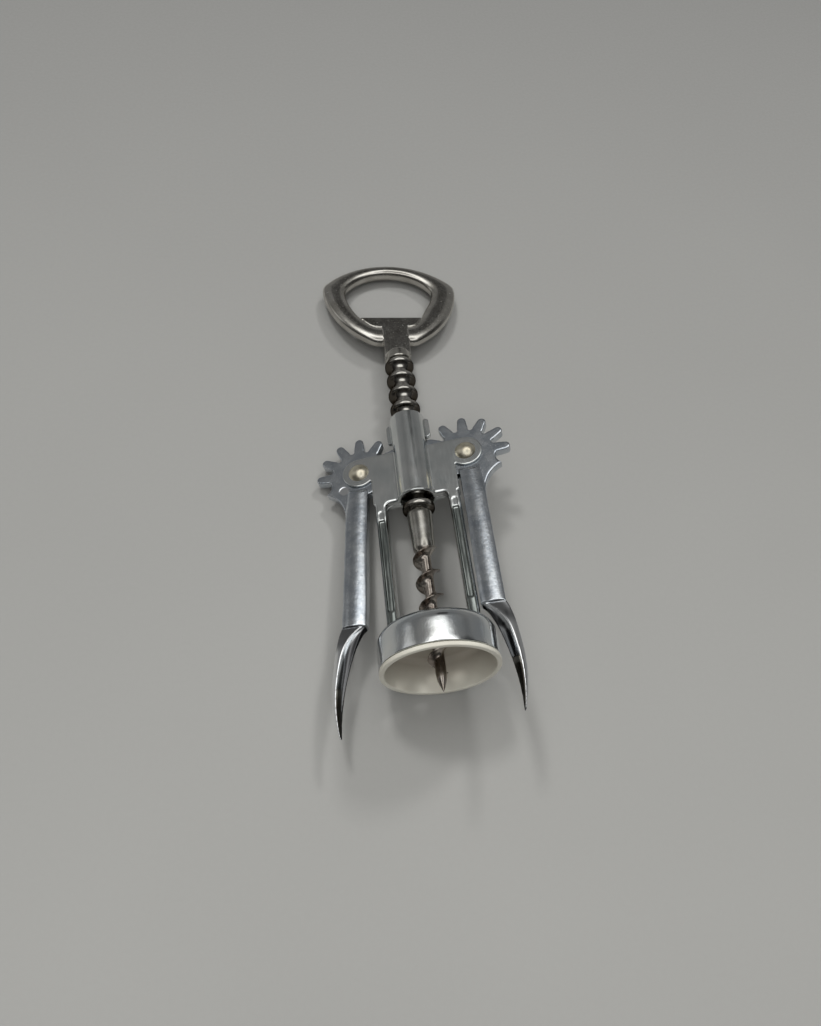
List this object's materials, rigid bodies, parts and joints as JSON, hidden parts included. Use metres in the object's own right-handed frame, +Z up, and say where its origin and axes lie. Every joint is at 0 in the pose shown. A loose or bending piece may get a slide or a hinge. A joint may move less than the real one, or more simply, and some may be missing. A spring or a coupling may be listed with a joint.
{
  "type": "wing corkscrew",
  "caption": "Wing corkscrew lying on its back: toothed levers on domed rivets, ringed rack, worm, bell with pale liner, and an eye-shaped cap lifter handle.",
  "frame": {"origin": "on the table, under the centre of the part's bounding box", "axes": "+Z up from the table; +Y along the corkscrew towards the handle, whose end is lower than the bell; +X to the right as seen from the bell's mouth with the table below"},
  "size_m": [0.0616, 0.183, 0.0344],
  "materials": {
    "plated_steel": "bright plated pressed steel",
    "plated_casting": "bright plated casting, slightly rippled",
    "handle_casting": "bright plated casting, a little darker",
    "worm_steel": "plated steel, dull between the turns",
    "rivet_brass": "pale plated brass, polished",
    "liner_plastic": "off-white moulded plastic, satin"
  },
  "bodies": {
    "frame": {"front_shell": "plated_steel", "back_shell": "plated_steel", "bell_cup": "plated_steel", "bell_liner": "liner_plastic", "rivet_left": "rivet_brass", "rivet_right": "rivet_brass"},
    "lever_right": {"lever_right": "plated_casting"},
    "lever_left": {"lever_left": "plated_casting"},
    "rack": {"rack_sleeve": "handle_casting"},
    "screw": {"worm": "worm_steel", "handle_loop": "handle_casting"}
  },
  "joints": [
    {"name": "lever_right_lift", "type": "hinge", "parent": "frame", "child": "lever_right", "pos_m": [0.01674, -0.00574, 0.0165], "axis": [-0.2904, 0.0828, 0.9533], "range_deg": [0, 154]},
    {"name": "lever_left_lift", "type": "hinge", "parent": "frame", "child": "lever_left", "pos_m": [-0.01675, -0.00662, 0.00637], "axis": [0.2904, -0.0828, -0.9533], "range_deg": [0, 154]},
    {"name": "rack_slide", "type": "slide", "parent": "frame", "child": "rack", "axis": [0, -0.9962, 0.0866], "range_m": [0, 0.035]},
    {"name": "handle_spin", "type": "hinge", "parent": "rack", "child": "screw", "pos_m": [-0.00001, 0.04263, 0.00719], "axis": [0, -0.9962, 0.0866], "continuous": true}
  ],
  "couplings": [
    {"joint": "lever_left_lift", "follows": "lever_right_lift", "ratio": 1},
    {"joint": "rack_slide", "follows": "lever_right_lift", "m_per_rad": 0.012987}
  ]
}
